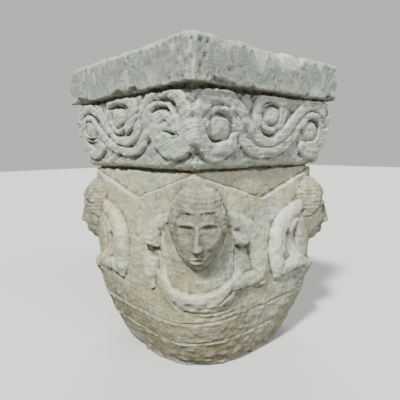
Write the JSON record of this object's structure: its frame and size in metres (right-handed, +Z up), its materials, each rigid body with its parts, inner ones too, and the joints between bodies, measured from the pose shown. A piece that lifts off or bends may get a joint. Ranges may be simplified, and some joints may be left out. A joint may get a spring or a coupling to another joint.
{
  "type": "historiated capital",
  "caption": "Carved stone column capital: square abacus, running-scroll frieze, and a bell turning from square to round with a half figure on each corner",
  "frame": {"origin": "middle of the round lower bed, on the column's axis", "axes": "+Z up along the column's axis; the abacus faces look along +X, -X, +Y and -Y; the corner with the near figure is at +X, -Y"},
  "size_m": [0.4, 0.4, 0.564],
  "materials": {
    "stone": "tooled and weathered, pale grey-green to cream, with brown grime in the grooves"
  },
  "bodies": {
    "root": {"capital": "stone"}
  },
  "joints": []
}
